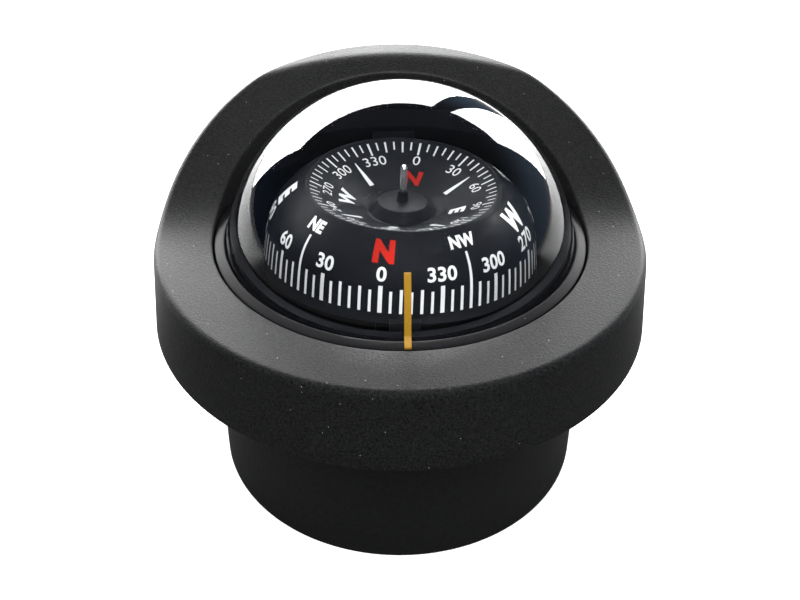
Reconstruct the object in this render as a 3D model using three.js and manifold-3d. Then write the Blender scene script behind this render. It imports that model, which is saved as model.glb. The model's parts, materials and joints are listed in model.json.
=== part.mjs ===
// Flush-mounting binnacle compass: hooded ring housing, round base case, fluid capsule with a clear dome,
// and a double-reading card on a pivot in an internal gimbal. Millimetres, +Z up, +Y towards the bow.
// The origin is the middle of the base case's lower edge, on which the compass stands.
import * as THREE from "three";
import { mergeVertices } from "three/addons/utils/BufferGeometryUtils.js";
import Module from "manifold-3d";

const wasm = await Module();
wasm.setup();

// ---- housing
const HOUSING_R = 90; // outer radius of the ring housing at the deck
const HOUSING_TOP_R = 87.6; // the side leans in to this radius at the top
const HOUSING_WALL = 3;
const DECK_Z = 65; // the housing's lower edge, which meets the deck
const RIM_Z = 94.7; // top face at the front
const WELL_R = 67; // inner radius of the opening round the capsule
const WELL_FOOT_Z = 73.3;
const HOOD_SLOPE = 0.466; // rise of the hood towards the bow
const HOOD_START_Y = 0; // where the rise begins
const HOOD_START_BLEND = 2.5;
const TOP_FALL = 0.01; // how much the top face falls outwards
const HOOD_TOP_Z = 128.5;
const HOOD_TOP_CURVE = 0.0016;
const HOOD_CREASE = 0.35; // softness of the line between the slope and the hood's top
const EDGE_FILLET = 2.8; // rounding of the outer top edge
const EDGE_BLEND = 0.2; // how far below the rounding the straight side ends
const LIP_FILLET = 0.8; // rounding of the well's lip
const TOP_STATIONS = [81.2, 77.6, 74.2, 70.8]; // radii at which the top face is shaped
const UNDER_STATIONS = [75, 81]; // radii at which its underside is shaped
const UNDER_CORNER = 1; // drop at the underside's outer corner
const BOSS_R = 5;
const BOSS_CIRCLE_R = 78.5;
const BOSS_BELOW_TOP = 2.2; // the boss ends inside the housing's top wall
const BOSS_HOLE_DEPTH = 10.5;

// ---- base case
const BASE_R = 69.3;
const BASE_WALL = 3.8;
const FLANGE_Z = 69.8;
const FLANGE_TOP_Z = 73;
const FLANGE_R = 85.6;
const SEAT_R = 61.5; // inner radius of the flange, under the capsule
const SPIGOT_Z = 66.8; // foot of the spigot that locates the flange in the case
const CAP_Z = 2;
const CAP_THICKNESS = 3;
const LUG_CIRCLE_R = 61.5;
const LUG_R = 4.5;
const LUG_TOP_Z = 16;
const CAP_SCREW_HOLE_TOP = 12.5;
const GLAND_Z = 32; // height of the cable gland
const GLAND_R = 4;
const WALL_CUT_FROM = 55; // the holes through the case's wall are cut between these radii
const WALL_CUT_TO = 75;
const SCREW_HOLE_R = 1.8;
const SCREW_R = 1.5;
const SCREW_HEAD_R = 3;

// ---- capsule
const PIVOT_Z = 84.2; // height of the dome's centre, which is also the card's pivot
const DOME_R = 63.2;
const DOME_WALL = 3;
const BOWL_INNER_R = 57;
const BOWL_WALL = 2.8;
const BOWL_FLOOR_Z = 31.2;
const BOWL_FLANGE_Z = 77.3; // underside of the bowl's flange
const FLOOR_HOLE_R = 12; // opening for the diaphragm
const DIAPHRAGM_Z = 26.9;
const DIAPHRAGM_R = 17;
const SEAL_Z = 81.3; // foot of the seal between the bowl and the dome
const SEAL_R0 = 61.2;
const SEAL_R1 = 64.4;
const DOME_FLANGE_Z = 83.3;
const DOME_FLANGE_TOP = 86.3;
const CAPSULE_FLANGE_R = 65.1;
const BEZEL_R = 66.4;
const BEZEL_FOOT_Z = 75;
const BEZEL_TOP_Z = 94.1; // outer edge of the bezel's top
const BEZEL_LIP_R = 62.6; // inner edge of the bezel's top
const BEZEL_LIP_Z = 95.3; // the top rises inwards to the dome
const BEZEL_UNDER_R = 63.5; // inner edge above the dome's flange
const BEZEL_ROUND = 0.8;
const CLAMP_R0 = 60.3; // inner radius of the ring that closes the capsule from below
const LUBBER_W = 2.2;
const LUBBER_THICK = 1;
const LUBBER_TOP_DEG = 30; // how far up the dome the lubber strip reaches

// ---- lamp and filling plug, let into the bowl
const LAMP_AZ = 90;
const LAMP_EL = -32;
const LAMP_R = 7;
const PLUG_AZ = 225;
const PLUG_EL = -42;
const PLUG_R = 3;

// ---- gimbal
const RING_R0 = 43.5;
const RING_R1 = 47;
const RING_HALF_H = 3;
const CRADLE_R0 = 38;
const CRADLE_R1 = 41;
const CRADLE_W = 9;
const PIN_R = 1.2;
const PIN_HOLE_R = 1.5;
const TRUNNION_X = 49.1; // inner face of each trunnion post
const TRUNNION_FOOT_Z = 74;

// ---- card
const CARD_R = 34.5;
const CARD_FOOT = -6; // lower edge of the skirt, below the pivot
const CARD_HEADING_DEG = 348; // bearing that stands at the bow
const CARD_DIP_DEG = 10.8; // the card's north side hangs this much low
const HUB_R = 8.5; // foot of the hub in the middle of the dish
const HUB_TOP_R = 6.4;
const PIN_FOOT = 18.8; // where the bright pin on the hub begins

// ---- compensator
const NS_ROD_Z = 9.3;
const EW_ROD_Z = 17.9;
const ROD_R = 3;
const ROD_HOLE_R = 3.4;
const ROD_END = 67.4;
const BLOCK_HALF = 20;
const BLOCK_TOP_Z = 24.2;

const GAP = 0.3; // clearance between neighbouring pieces
const BLOCK_FOOT_Z = CAP_Z + CAP_THICKNESS + GAP;
const RAD = Math.PI / 180;

const group = new THREE.Group();
group.name = "binnacle_compass";

const LOOK = {
  housing: [0x2a2b2d, 0.62, 0], base: [0x1d1e20, 0.55, 0], gloss: [0x101112, 0.18, 0],
  clear: [0xdfe8ea, 0.08, 0], rubber: [0x17181a, 0.85, 0], amber: [0xc8961e, 0.4, 0],
  dark: [0x222428, 0.5, 0], steel: [0xb4b8bb, 0.3, 1], brass: [0xb8923c, 0.35, 1],
  card: [0x1b1d22, 0.45, 0], foam: [0x2b2d30, 0.9, 0], magnet: [0x6f7378, 0.4, 1],
  lamp: [0xe8d8a0, 0.3, 0], lead: [0x7a7d80, 0.5, 1], board: [0x2f5a3a, 0.5, 0],
};

function add(name, geometry, look) {
  const [color, roughness, metalness] = LOOK[look];
  const material = new THREE.MeshStandardMaterial({ color, roughness, metalness });
  if (look === "clear") {
    material.transparent = true;
    material.opacity = 0.3;
  }
  material.name = look;
  const mesh = new THREE.Mesh(geometry, material);
  mesh.name = name;
  group.add(mesh);
  return mesh;
}

// ---- shapes: each helper returns a closed geometry in millimetres
function lathe(points, segments = 48) {
  const geometry = new THREE.LatheGeometry(points.map(([r, z]) => new THREE.Vector2(r, z)), segments);
  return geometry.rotateX(Math.PI / 2);
}

function ring(r0, r1, z0, z1, segments = 48) {
  return lathe([[r0, z0], [r1, z0], [r1, z1], [r0, z1], [r0, z0]], segments);
}

function disc(r, z0, z1, segments = 24) {
  return lathe([[0, z0], [r, z0], [r, z1], [0, z1]], segments);
}

function block(sx, sy, sz, x, y, z) {
  return new THREE.BoxGeometry(sx, sy, sz).translate(x, y, z);
}

function bare(geometry) {
  const copy = geometry.clone();
  copy.deleteAttribute("normal");
  copy.deleteAttribute("uv");
  return mergeVertices(copy, 1e-4);
}

function solid(geometry) {
  const merged = bare(geometry);
  return new wasm.Manifold(new wasm.Mesh({
    numProp: 3,
    vertProperties: new Float32Array(merged.attributes.position.array),
    triVerts: new Uint32Array(merged.index.array),
  }));
}

function geometryOf(body) {
  const mesh = body.getMesh();
  const positions = new Float32Array(mesh.numVert * 3);
  for (let i = 0; i < mesh.numVert; i += 1) {
    for (let k = 0; k < 3; k += 1) positions[i * 3 + k] = mesh.vertProperties[i * mesh.numProp + k];
  }
  const geometry = new THREE.BufferGeometry();
  geometry.setAttribute("position", new THREE.BufferAttribute(positions, 3));
  geometry.setIndex(new THREE.BufferAttribute(new Uint32Array(mesh.triVerts), 1));
  const flat = geometry.toNonIndexed();
  flat.computeVertexNormals();
  return flat;
}

function combine(base, added, removed) {
  let body = solid(base);
  for (const piece of added) body = body.add(solid(piece));
  for (const piece of removed) body = body.subtract(solid(piece));
  return geometryOf(body);
}

function alongX(geometry) {
  return geometry.rotateY(Math.PI / 2);
}

function alongY(geometry) {
  return geometry.rotateX(-Math.PI / 2);
}

function polar(r, degrees) {
  return [r * Math.cos(degrees * RAD), r * Math.sin(degrees * RAD)];
}

// points of a circle arc round [0, z]; 0 degrees is level and outwards, 90 is straight up
function arc(radius, from, to, count, z = PIVOT_Z) {
  const points = [];
  for (let i = 0; i <= count; i += 1) {
    const a = (from + ((to - from) * i) / count) * RAD;
    points.push([Math.abs(Math.cos(a)) < 1e-9 ? 0 : radius * Math.cos(a), z + radius * Math.sin(a)]);
  }
  return points;
}

function angleAt(radius, height) {
  return Math.asin(height / radius) / RAD;
}

// places a shape built along +Z so that its axis runs outwards from the pivot
function radial(geometry, azimuth, elevation) {
  const [x, y] = polar(Math.cos(elevation * RAD), azimuth);
  const direction = new THREE.Vector3(x, y, Math.sin(elevation * RAD));
  const turn = new THREE.Quaternion().setFromUnitVectors(new THREE.Vector3(0, 0, 1), direction);
  return geometry.applyQuaternion(turn).translate(0, 0, PIVOT_Z);
}

// ---- ring housing with its raised hood
function softRamp(value, width) {
  return value > 6 * width ? value : width * Math.log(1 + Math.exp(value / width));
}

function hoodTop(x, y) {
  const fall = TOP_FALL * (HOUSING_TOP_R - Math.hypot(x, y));
  const raised = RIM_Z + HOOD_SLOPE * softRamp(y - HOOD_START_Y, HOOD_START_BLEND) + fall;
  const cap = HOOD_TOP_Z - HOOD_TOP_CURVE * x * x;
  return cap - softRamp(cap - raised, HOOD_CREASE);
}

function housingSection(degrees) {
  const at = (r) => hoodTop(...polar(r, degrees));
  const under = (r) => at(r) - HOUSING_WALL;
  const topInside = HOUSING_TOP_R - HOUSING_WALL;
  const wellOuter = WELL_R + HOUSING_WALL;
  const filletR = HOUSING_TOP_R - EDGE_FILLET;
  const filletZ = at(filletR) - EDGE_FILLET;
  const points = [[HOUSING_R, DECK_Z], [HOUSING_TOP_R, filletZ - EDGE_BLEND]];
  for (const a of [22.5, 45, 67.5]) {
    points.push([filletR + EDGE_FILLET * Math.cos(a * RAD), filletZ + EDGE_FILLET * Math.sin(a * RAD)]);
  }
  for (const r of [filletR, ...TOP_STATIONS, WELL_R + LIP_FILLET]) points.push([r, at(r)]);
  points.push([WELL_R, at(WELL_R + LIP_FILLET) - LIP_FILLET], [WELL_R, WELL_FOOT_Z], [wellOuter, WELL_FOOT_Z]);
  for (const r of [wellOuter, ...UNDER_STATIONS]) points.push([r, under(r)]);
  points.push([topInside, under(topInside) - UNDER_CORNER], [HOUSING_R - HOUSING_WALL, DECK_Z]);
  return points;
}

function housingBody(steps = 72) {
  const positions = [];
  const faces = [];
  const sections = [];
  for (let i = 0; i < steps; i += 1) sections.push(housingSection((i * 360) / steps));
  const count = sections[0].length;
  sections.forEach((section, i) => {
    const [cx, cy] = polar(1, (i * 360) / steps);
    for (const [r, z] of section) positions.push(r * cx, r * cy, z);
  });
  for (let i = 0; i < steps; i += 1) {
    const next = (i + 1) % steps;
    for (let j = 0; j < count; j += 1) {
      const up = (j + 1) % count;
      const a = i * count + j;
      const b = next * count + j;
      const c = next * count + up;
      const d = i * count + up;
      faces.push(a, b, c, a, c, d);
    }
  }
  const geometry = new THREE.BufferGeometry();
  geometry.setAttribute("position", new THREE.Float32BufferAttribute(positions, 3));
  geometry.setIndex(faces);
  return geometry;
}

const SCREW_ANGLES = [45, 135, 225, 315];
const bosses = [];
const bossHoles = [];
for (const degrees of SCREW_ANGLES) {
  const [x, y] = polar(BOSS_CIRCLE_R, degrees);
  bosses.push(disc(BOSS_R, WELL_FOOT_Z, hoodTop(x, y) - BOSS_BELOW_TOP, 20).translate(x, y, 0));
  bossHoles.push(disc(SCREW_HOLE_R, WELL_FOOT_Z - 1, WELL_FOOT_Z + BOSS_HOLE_DEPTH, 16).translate(x, y, 0));
}
add("hood_housing", combine(housingBody(), bosses, bossHoles), "housing");

// ---- base case, its cap and the screws that hold both
const lugs = [];
const caseHoles = [];
const flangeHoles = [];
for (const degrees of SCREW_ANGLES) {
  const [lx, ly] = polar(LUG_CIRCLE_R, degrees);
  lugs.push(disc(LUG_R, CAP_Z + CAP_THICKNESS + GAP, LUG_TOP_Z, 20).translate(lx, ly, 0));
  caseHoles.push(disc(SCREW_HOLE_R, CAP_Z, CAP_SCREW_HOLE_TOP, 16).translate(lx, ly, 0));
  const [fx, fy] = polar(BOSS_CIRCLE_R, degrees);
  flangeHoles.push(disc(SCREW_HOLE_R, FLANGE_Z - 1, FLANGE_TOP_Z + 1, 16).translate(fx, fy, 0));
}
caseHoles.push(alongY(disc(ROD_HOLE_R, WALL_CUT_FROM, WALL_CUT_TO, 24)).translate(0, 0, NS_ROD_Z));
caseHoles.push(alongX(disc(ROD_HOLE_R, -WALL_CUT_TO, -WALL_CUT_FROM, 24)).translate(0, 0, EW_ROD_Z));
caseHoles.push(alongY(disc(GLAND_R + GAP, WALL_CUT_FROM, WALL_CUT_TO, 24)).translate(0, 0, GLAND_Z));
const inner = BASE_R - BASE_WALL;
add("base_case", combine(ring(inner, BASE_R, 0, FLANGE_Z - GAP, 72), lugs, caseHoles), "base");

const flangeBody = lathe([
  [SEAT_R, SPIGOT_Z], [inner - GAP, SPIGOT_Z], [inner - GAP, FLANGE_Z], [FLANGE_R, FLANGE_Z],
  [FLANGE_R, FLANGE_TOP_Z], [SEAT_R, FLANGE_TOP_Z], [SEAT_R, SPIGOT_Z],
], 72);
add("deck_flange", combine(flangeBody, [], flangeHoles), "base");

const capHoles = SCREW_ANGLES.map((degrees) => disc(SCREW_HOLE_R, 0, 8, 16).translate(...polar(LUG_CIRCLE_R, degrees), 0));
add("base_cap", combine(disc(inner - GAP, CAP_Z, CAP_Z + CAP_THICKNESS, 60), [], capHoles), "base");

function panScrew(headZ, headH, length) {
  return lathe([
    [0, headZ], [SCREW_HEAD_R - 0.5, headZ], [SCREW_HEAD_R, headZ + 0.5], [SCREW_HEAD_R, headZ + headH],
    [SCREW_R, headZ + headH], [SCREW_R, headZ + headH + length - 0.6], [SCREW_R - 0.6, headZ + headH + length],
    [0, headZ + headH + length],
  ], 16);
}

function slotted(geometry, headZ) {
  return combine(geometry, [], [block(4.4, 0.9, 0.8, 0, 0, headZ + 0.2)]);
}

SCREW_ANGLES.forEach((degrees, i) => {
  const [lx, ly] = polar(LUG_CIRCLE_R, degrees);
  add(`cap_screw_${i + 1}`, slotted(panScrew(0.3, 1.4, 9.5), 0.3).translate(lx, ly, 0), "steel");
  const [fx, fy] = polar(BOSS_CIRCLE_R, degrees);
  add(`housing_screw_${i + 1}`, slotted(panScrew(67.3, 2.2, 13), 67.3).translate(fx, fy, 0), "steel");
});

const gasketHoles = SCREW_ANGLES.map((degrees) => (
  disc(SCREW_HEAD_R + 0.6, DECK_Z - 1, FLANGE_Z + 1, 16).translate(...polar(BOSS_CIRCLE_R, degrees), 0)));
add("deck_gasket", combine(ring(BASE_R + 0.8, FLANGE_R - GAP, DECK_Z, FLANGE_Z - GAP, 56), [], gasketHoles), "rubber");

// ---- capsule: bowl, seal, dome, bezel and the ring that closes it from below
const domeInner = DOME_R - DOME_WALL;
const flangeAngle = angleAt(DOME_R, DOME_FLANGE_TOP - PIVOT_Z);
add("dome", lathe([
  [domeInner - 0.1, DOME_FLANGE_Z], [CAPSULE_FLANGE_R, DOME_FLANGE_Z], [CAPSULE_FLANGE_R, DOME_FLANGE_TOP],
  ...arc(DOME_R, flangeAngle, 90, 12), ...arc(domeInner, 90, 2, 11), [domeInner - 0.1, DOME_FLANGE_Z],
], 54), "clear");

add("dome_seal", ring(SEAL_R0, SEAL_R1, SEAL_Z, DOME_FLANGE_Z - GAP, 56), "rubber");

const BOWL_TOP_Z = SEAL_Z - GAP;
const bowlOuter = BOWL_INNER_R + BOWL_WALL;
const bowlShell = lathe([
  [0, BOWL_FLOOR_Z - BOWL_WALL],
  ...arc(bowlOuter, angleAt(bowlOuter, BOWL_FLOOR_Z - BOWL_WALL - PIVOT_Z), angleAt(bowlOuter, BOWL_FLANGE_Z - PIVOT_Z), 7),
  [CAPSULE_FLANGE_R, BOWL_FLANGE_Z], [CAPSULE_FLANGE_R, BOWL_TOP_Z],
  ...arc(BOWL_INNER_R, angleAt(BOWL_INNER_R, BOWL_TOP_Z - PIVOT_Z), angleAt(BOWL_INNER_R, BOWL_FLOOR_Z - PIVOT_Z), 7),
  [0, BOWL_FLOOR_Z],
], 48);
add("capsule_bowl", combine(bowlShell, [], [
  disc(FLOOR_HOLE_R, BOWL_FLOOR_Z - BOWL_WALL - 2, BOWL_FLOOR_Z + 2, 32),
  radial(disc(LAMP_R, BOWL_INNER_R - 3, bowlOuter + 3, 24), LAMP_AZ, LAMP_EL),
  radial(disc(PLUG_R + GAP, BOWL_INNER_R - 3, bowlOuter + 3, 16), PLUG_AZ, PLUG_EL),
]), "dark");

add("bezel_ring", lathe([
  [CAPSULE_FLANGE_R + GAP, BEZEL_FOOT_Z], [BEZEL_R, BEZEL_FOOT_Z], [BEZEL_R, BEZEL_TOP_Z - BEZEL_ROUND],
  [BEZEL_R - BEZEL_ROUND, BEZEL_TOP_Z], [BEZEL_LIP_R, BEZEL_LIP_Z], [BEZEL_UNDER_R, DOME_FLANGE_TOP + GAP],
  [CAPSULE_FLANGE_R + GAP, DOME_FLANGE_TOP + GAP], [CAPSULE_FLANGE_R + GAP, BEZEL_FOOT_Z],
], 72), "gloss");
add("retaining_ring", ring(CLAMP_R0, CAPSULE_FLANGE_R, WELL_FOOT_Z, BOWL_FLANGE_Z - GAP, 56), "dark");

// ---- lubber strip: a foot on the bezel and a curved strip up the front of the dome
function lubberStrip() {
  const shape = new THREE.Shape();
  const from = angleAt(DOME_R + GAP, BEZEL_LIP_Z + GAP - PIVOT_Z);
  const innerArc = arc(DOME_R + GAP, LUBBER_TOP_DEG, from, 8);
  const outerArc = arc(DOME_R + GAP + LUBBER_THICK, from + 1.4, LUBBER_TOP_DEG, 8);
  const loop = [
    ...innerArc, [BEZEL_R - 0.1, BEZEL_TOP_Z + GAP], [BEZEL_R - 0.1, BEZEL_TOP_Z + GAP + LUBBER_THICK], ...outerArc,
  ];
  loop.forEach(([r, z], i) => (i ? shape.lineTo(r, z) : shape.moveTo(r, z)));
  shape.closePath();
  const geometry = new THREE.ExtrudeGeometry(shape, { depth: LUBBER_W, bevelEnabled: false, steps: 1 });
  // the profile is drawn outwards and up, then stood up and turned to the front
  return geometry.translate(0, 0, -LUBBER_W / 2).rotateX(Math.PI / 2).rotateZ(-Math.PI / 2);
}
add("lubber_strip", lubberStrip(), "amber");

// ---- pieces let into the bowl
const floorUnder = BOWL_FLOOR_Z - BOWL_WALL;
add("diaphragm", lathe([
  [0, DIAPHRAGM_Z + 1.8], [6, DIAPHRAGM_Z + 1.8], [9, DIAPHRAGM_Z], [DIAPHRAGM_R, DIAPHRAGM_Z],
  [DIAPHRAGM_R, floorUnder - GAP],
  [11, floorUnder - GAP], [7.5, floorUnder + 1.6], [0, floorUnder + 1.6],
], 36), "rubber");
add("diaphragm_ring", ring(10.5, DIAPHRAGM_R, DIAPHRAGM_Z - 2, DIAPHRAGM_Z - GAP, 36), "steel");
add("fill_plug", radial(lathe([
  [0, BOWL_INNER_R + 0.4], [PLUG_R, BOWL_INNER_R + 0.4], [PLUG_R, bowlOuter + 0.6], [5, bowlOuter + 0.6],
  [5, bowlOuter + 2.6], [0, bowlOuter + 2.6],
], 20), PLUG_AZ, PLUG_EL), "brass");
add("lamp_window", radial(disc(LAMP_R - GAP, BOWL_INNER_R + 0.3, bowlOuter, 24), LAMP_AZ, LAMP_EL), "clear");
add("lamp_holder", radial(lathe([
  [0, 65.7], [6, 65.7], [6, bowlOuter + 0.6], [8.5, bowlOuter + 0.6], [8.5, 66.6], [7.6, 67.5], [0, 67.5],
], 24), LAMP_AZ, LAMP_EL), "dark");
add("lamp_led", radial(lathe([
  [0, 61], [1.4, 61.3], [2.2, 62.2], [2.5, 63.2], [2.5, 65.4], [0, 65.4],
], 16), LAMP_AZ, LAMP_EL), "lamp");

// ---- cable gland for the lamp's supply, with its nut inside the case
add("cable_gland", alongY(lathe([
  [2.2, 60], [GLAND_R, 60], [GLAND_R, BASE_R + GAP], [7.4, BASE_R + GAP], [7.4, 72.6], [6.2, 73.2], [6.2, 77.8],
  [4.6, 79.6], [2.2, 79.6], [2.2, 60],
], 24)).translate(0, 0, GLAND_Z), "dark");
const nutBody = combine(disc(7.4, 61.5, 64.6, 6), [], [disc(GLAND_R + GAP, 60, 66, 24)]);
add("gland_nut", alongY(nutBody).translate(0, 0, GLAND_Z), "dark");

// ---- trunnions and pins that carry the gimbal ring inside the bowl
for (const [side, name] of [[-1, "left"], [1, "right"]]) {
  const post = block(3, 9, 14.6, side * (TRUNNION_X + 1.5), 0, TRUNNION_FOOT_Z + 7.3);
  const foot = block(6.2, 9, 5, side * (TRUNNION_X + 3.1), 0, TRUNNION_FOOT_Z + 2.5);
  const hole = alongX(disc(PIN_HOLE_R, -5, 5, 16)).translate(side * (TRUNNION_X + 1.5), 0, PIVOT_Z);
  add(`trunnion_${name}`, combine(post, [foot], [hole]), "dark");
  const pin = alongX(disc(PIN_R, -4.2, 4.2, 14)).translate(side * 48.2, 0, PIVOT_Z);
  add(`pitch_pin_${name}`, pin, "steel");
}

// ---- gimbal ring, which pitches on the pins at the sides
const ringHoles = [
  alongX(disc(PIN_HOLE_R, -60, 60, 16)).translate(0, 0, PIVOT_Z),
  alongY(disc(PIN_HOLE_R, -60, 60, 16)).translate(0, 0, PIVOT_Z),
];
add("gimbal_ring", combine(ring(RING_R0, RING_R1, PIVOT_Z - RING_HALF_H, PIVOT_Z + RING_HALF_H, 56), [], ringHoles), "dark");

// ---- cradle, which rolls on the pins at the front and the back of the ring
function cradleStrap() {
  const shape = new THREE.Shape();
  const lift = 6;
  const steps = 22;
  const loop = [];
  for (let i = 0; i <= steps; i += 1) {
    const a = (lift - ((180 + 2 * lift) * i) / steps) * RAD;
    loop.push([CRADLE_R1 * Math.cos(a), CRADLE_R1 * Math.sin(a)]);
  }
  for (let i = steps; i >= 0; i -= 1) {
    const a = (lift - ((180 + 2 * lift) * i) / steps) * RAD;
    loop.push([CRADLE_R0 * Math.cos(a), CRADLE_R0 * Math.sin(a)]);
  }
  loop.forEach(([y, z], i) => (i ? shape.lineTo(y, z) : shape.moveTo(y, z)));
  shape.closePath();
  const geometry = new THREE.ExtrudeGeometry(shape, { depth: CRADLE_W, bevelEnabled: false, steps: 1 });
  return geometry.translate(0, 0, -CRADLE_W / 2).rotateX(Math.PI / 2).rotateZ(Math.PI / 2).translate(0, 0, PIVOT_Z);
}
const cradleHole = alongY(disc(PIN_HOLE_R, -60, 60, 16)).translate(0, 0, PIVOT_Z);
add("cradle", combine(cradleStrap(), [], [cradleHole]), "dark");
for (const [side, name] of [[-1, "front"], [1, "back"]]) {
  add(`roll_pin_${name}`, alongY(disc(PIN_R, -4.1, 4.1, 14)).translate(0, side * 42.6, PIVOT_Z), "steel");
}
const STEM_FOOT = -(CRADLE_R0 - 2 * GAP);
add("pivot_stem", lathe([
  [0, STEM_FOOT], [2.5, STEM_FOOT], [2.5, -12], [1.5, -10], [1.5, -5], [0.25, -0.6], [0, -0.45],
], 20).translate(0, 0, PIVOT_Z), "steel");
add("counterweight", lathe([
  [0, -50], [11, -50], [12, -49], [12, -42.4], [11, -(CRADLE_R1 + 0.4)], [0, -(CRADLE_R1 + 0.4)],
], 32).translate(0, 0, PIVOT_Z), "lead");

// ---- card, drawn level with its north mark towards the bow, then turned to its heading and dipped to the north
function onCard(geometry) {
  const north = -CARD_HEADING_DEG * RAD;
  const [nx, ny] = [Math.sin(north), Math.cos(north)];
  const dip = new THREE.Quaternion().setFromAxisAngle(new THREE.Vector3(-ny, nx, 0), CARD_DIP_DEG * RAD);
  return geometry.rotateZ(-north).applyQuaternion(dip).translate(0, 0, PIVOT_Z);
}
add("card_shell", onCard(lathe([
  [0, 14.3], [5.3, 14.1], [7.6, 11.9], [8, 11.25], [9.2, 11.25], [24.7, 17.2], [25.8, 17.2], [28.3, 14.9],
  [30.5, 12.2], [32.2, 9.4], [33.2, 6.3], [CARD_R - 1, 3], [CARD_R - 1, CARD_FOOT], [CARD_R, CARD_FOOT],
  [CARD_R, 3], [34.2, 6.5], [33.2, 9.8], [31.4, 12.8], [29.2, 15.5], [27, 17.7], [26, 18.7], [25.3, 18.8],
  [24.9, 18.4], [9, 12.35], [HUB_R, 12.5], [HUB_TOP_R, 15], [HUB_TOP_R - 0.5, 15.4], [1.5, 15.6], [1.3, PIN_FOOT - GAP],
  [0, PIN_FOOT - GAP],
], 48)), "card");
add("card_float", onCard(lathe([
  [3.9, 1], [30.5, 1], [31, 2], [31, 6], [30, 9], [28, 11.5], [24, 15.6], [9, 10.7], [3.9, 10.6], [3.9, 1],
], 40)), "foam");
add("jewel_cup", onCard(lathe([
  [0, 0.4], [2.6, -1.5], [3.6, -1.5], [3.6, 8.5], [0, 8.5],
], 20)), "brass");
add("hub_pin", onCard(lathe([[0, PIN_FOOT], [0.95, PIN_FOOT], [0.95, 25.4], [0.5, 26], [0, 26]], 14)), "steel");
for (const [side, name] of [[-1, "west"], [1, "east"]]) {
  add(`card_magnet_${name}`, onCard(block(5, 40, 5, side * 10, 0, -1.8)), "magnet");
}

// ---- compensator: two slotted rods, each with a small cross magnet, in a block on the base cap
add("compensator_block", combine(
  block(2 * BLOCK_HALF, 2 * BLOCK_HALF, BLOCK_TOP_Z - BLOCK_FOOT_Z, 0, 0, (BLOCK_FOOT_Z + BLOCK_TOP_Z) / 2), [], [
    alongY(disc(ROD_HOLE_R - 0.1, -30, 30, 24)).translate(0, 0, NS_ROD_Z),
    alongX(disc(ROD_HOLE_R - 0.1, -30, 30, 24)).translate(0, 0, EW_ROD_Z),
  ],
), "board");

function rod() {
  const body = disc(ROD_R, -BLOCK_HALF + 1, ROD_END, 24);
  const cross = alongX(disc(1.9, -6, 6, 16));
  const slot = block(1, 8, 3, 0, 0, ROD_END);
  return combine(body, [], [cross, slot]);
}
function rodMagnet() {
  return alongX(disc(1.6, -2.5, 2.5, 16));
}
add("ns_rod", alongY(rod()).translate(0, 0, NS_ROD_Z), "brass");
add("ns_magnet", alongY(rodMagnet()).translate(0, 0, NS_ROD_Z), "magnet");
add("ew_rod", alongX(rod()).rotateZ(Math.PI).translate(0, 0, EW_ROD_Z), "brass");
add("ew_magnet", alongX(rodMagnet()).rotateZ(Math.PI).translate(0, 0, EW_ROD_Z), "magnet");

export default group;
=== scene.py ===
"""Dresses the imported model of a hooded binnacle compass: finer pieces, printed card, finishes and a stage.

Shapes are worked out in millimetres in the frame's axes, +Z up and +Y towards the bow, and made in metres.
"""

import json
import math

import bmesh
import bpy
from mathutils import Matrix, Vector


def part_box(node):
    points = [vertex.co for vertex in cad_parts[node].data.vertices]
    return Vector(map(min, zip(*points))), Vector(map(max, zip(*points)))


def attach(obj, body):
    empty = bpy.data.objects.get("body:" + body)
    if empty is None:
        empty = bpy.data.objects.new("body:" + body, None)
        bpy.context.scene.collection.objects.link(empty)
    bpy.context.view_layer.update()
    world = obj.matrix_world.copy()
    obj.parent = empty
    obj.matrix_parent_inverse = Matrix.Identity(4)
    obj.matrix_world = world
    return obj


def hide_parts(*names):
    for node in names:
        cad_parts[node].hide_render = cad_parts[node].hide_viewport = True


bl_info = {
    "name": "Binnacle compass",
    "version": (1, 0, 0),
    "blender": (4, 5, 0),
    "location": "View3D > Sidebar > Compass",
    "description": "Builds a hooded binnacle compass round its CAD frame",
    "category": "Object",
}

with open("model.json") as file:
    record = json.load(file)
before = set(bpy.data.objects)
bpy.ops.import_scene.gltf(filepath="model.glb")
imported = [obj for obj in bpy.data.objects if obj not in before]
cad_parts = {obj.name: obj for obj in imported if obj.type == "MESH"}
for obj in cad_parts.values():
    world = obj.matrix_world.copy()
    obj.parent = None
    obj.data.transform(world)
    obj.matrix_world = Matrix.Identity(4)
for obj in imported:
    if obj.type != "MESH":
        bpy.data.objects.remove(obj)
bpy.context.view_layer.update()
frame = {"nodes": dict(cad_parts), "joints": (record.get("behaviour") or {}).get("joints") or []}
MM = 0.001


def lowest(node):
    """Lowest corner of a CAD node, in millimetres."""
    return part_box(node)[0] / MM


def highest(node):
    """Highest corner of a CAD node, in millimetres."""
    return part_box(node)[1] / MM


def joint_point(name):
    """Where a joint sits, in millimetres."""
    for joint in frame["joints"]:
        if joint["name"] == name:
            return Vector(joint["pos_m"]) / MM
    raise RuntimeError(f"the frame has no joint named {name}")


PIVOT_Z = joint_point("card_turn").z
SHARP = math.radians(32)
GAP = 0.3
WALL = 3.0
CORNERS = (45, 135, 225, 315)
BOSS_CIRCLE = 78.5
LUG_CIRCLE = 61.5


def on_circle(radius, degrees):
    """X and Y of a point on a circle round the compass's axis."""
    return radius * math.cos(math.radians(degrees)), radius * math.sin(math.radians(degrees))


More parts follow.
